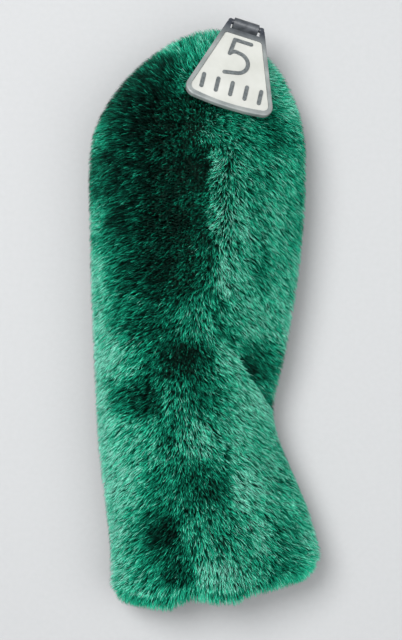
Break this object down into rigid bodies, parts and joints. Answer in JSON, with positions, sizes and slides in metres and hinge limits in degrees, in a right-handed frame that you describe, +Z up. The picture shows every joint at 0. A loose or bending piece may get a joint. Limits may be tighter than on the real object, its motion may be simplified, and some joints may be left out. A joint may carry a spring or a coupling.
{
  "type": "fairway wood head cover",
  "caption": "Plush sock-shaped golf club head cover with a lined padded head pocket, an elastic throat, a flared skirt and a trapezoid number tag on a vinyl strap.",
  "frame": {"origin": "on the flat resting back face, under the middle of the cover", "axes": "+Z up, out of the back towards the front face; +Y from the mouth to the crown; +X to the right when the front faces you"},
  "size_m": [0.1297, 0.3287, 0.0633],
  "materials": {
    "pile_plush": "emerald green plush with a 9 mm pile",
    "foam": "open-cell foam interlining, off-white",
    "lining_knit": "brushed tricot knit, dark green",
    "elastic": "woven elastic, white",
    "binding_tape": "polyester twill tape, dark green",
    "thread": "spun polyester thread, dark green",
    "smoky_vinyl": "smoky translucent moulded vinyl",
    "strap_vinyl": "smoky translucent vinyl strap",
    "cream_plate": "cream moulded vinyl, satin",
    "marking": "grey moulded vinyl, satin"
  },
  "bodies": {
    "cover": {"front_pile_panel": "pile_plush", "back_pile_panel": "pile_plush", "front_padding": "foam", "back_padding": "foam", "front_lining": "lining_knit", "back_lining": "lining_knit", "elastic_casing": "binding_tape", "throat_elastic": "elastic", "seam_binding": "binding_tape", "seam_stitches": "thread", "hem_stitches": "thread", "strap_tail": "strap_vinyl"},
    "strap": {"strap_loop": "strap_vinyl", "strap_loop_stitches": "thread"},
    "tag": {"tag_frame": "smoky_vinyl", "tag_face_plate": "cream_plate", "tag_numeral": "marking", "tag_tally_marks": "marking"}
  },
  "joints": [
    {"name": "strap_fold", "type": "hinge", "parent": "cover", "child": "strap", "pos_m": [0.01917, 0.15085, 0.02965], "axis": [-0.9511, 0.2807, 0.1285], "range_deg": [0, 30]},
    {"name": "tag_flip", "type": "hinge", "parent": "strap", "child": "tag", "pos_m": [0.02287, 0.16003, 0.03697], "axis": [-0.9511, 0.2807, 0.1285], "range_deg": [0, 170]}
  ]
}
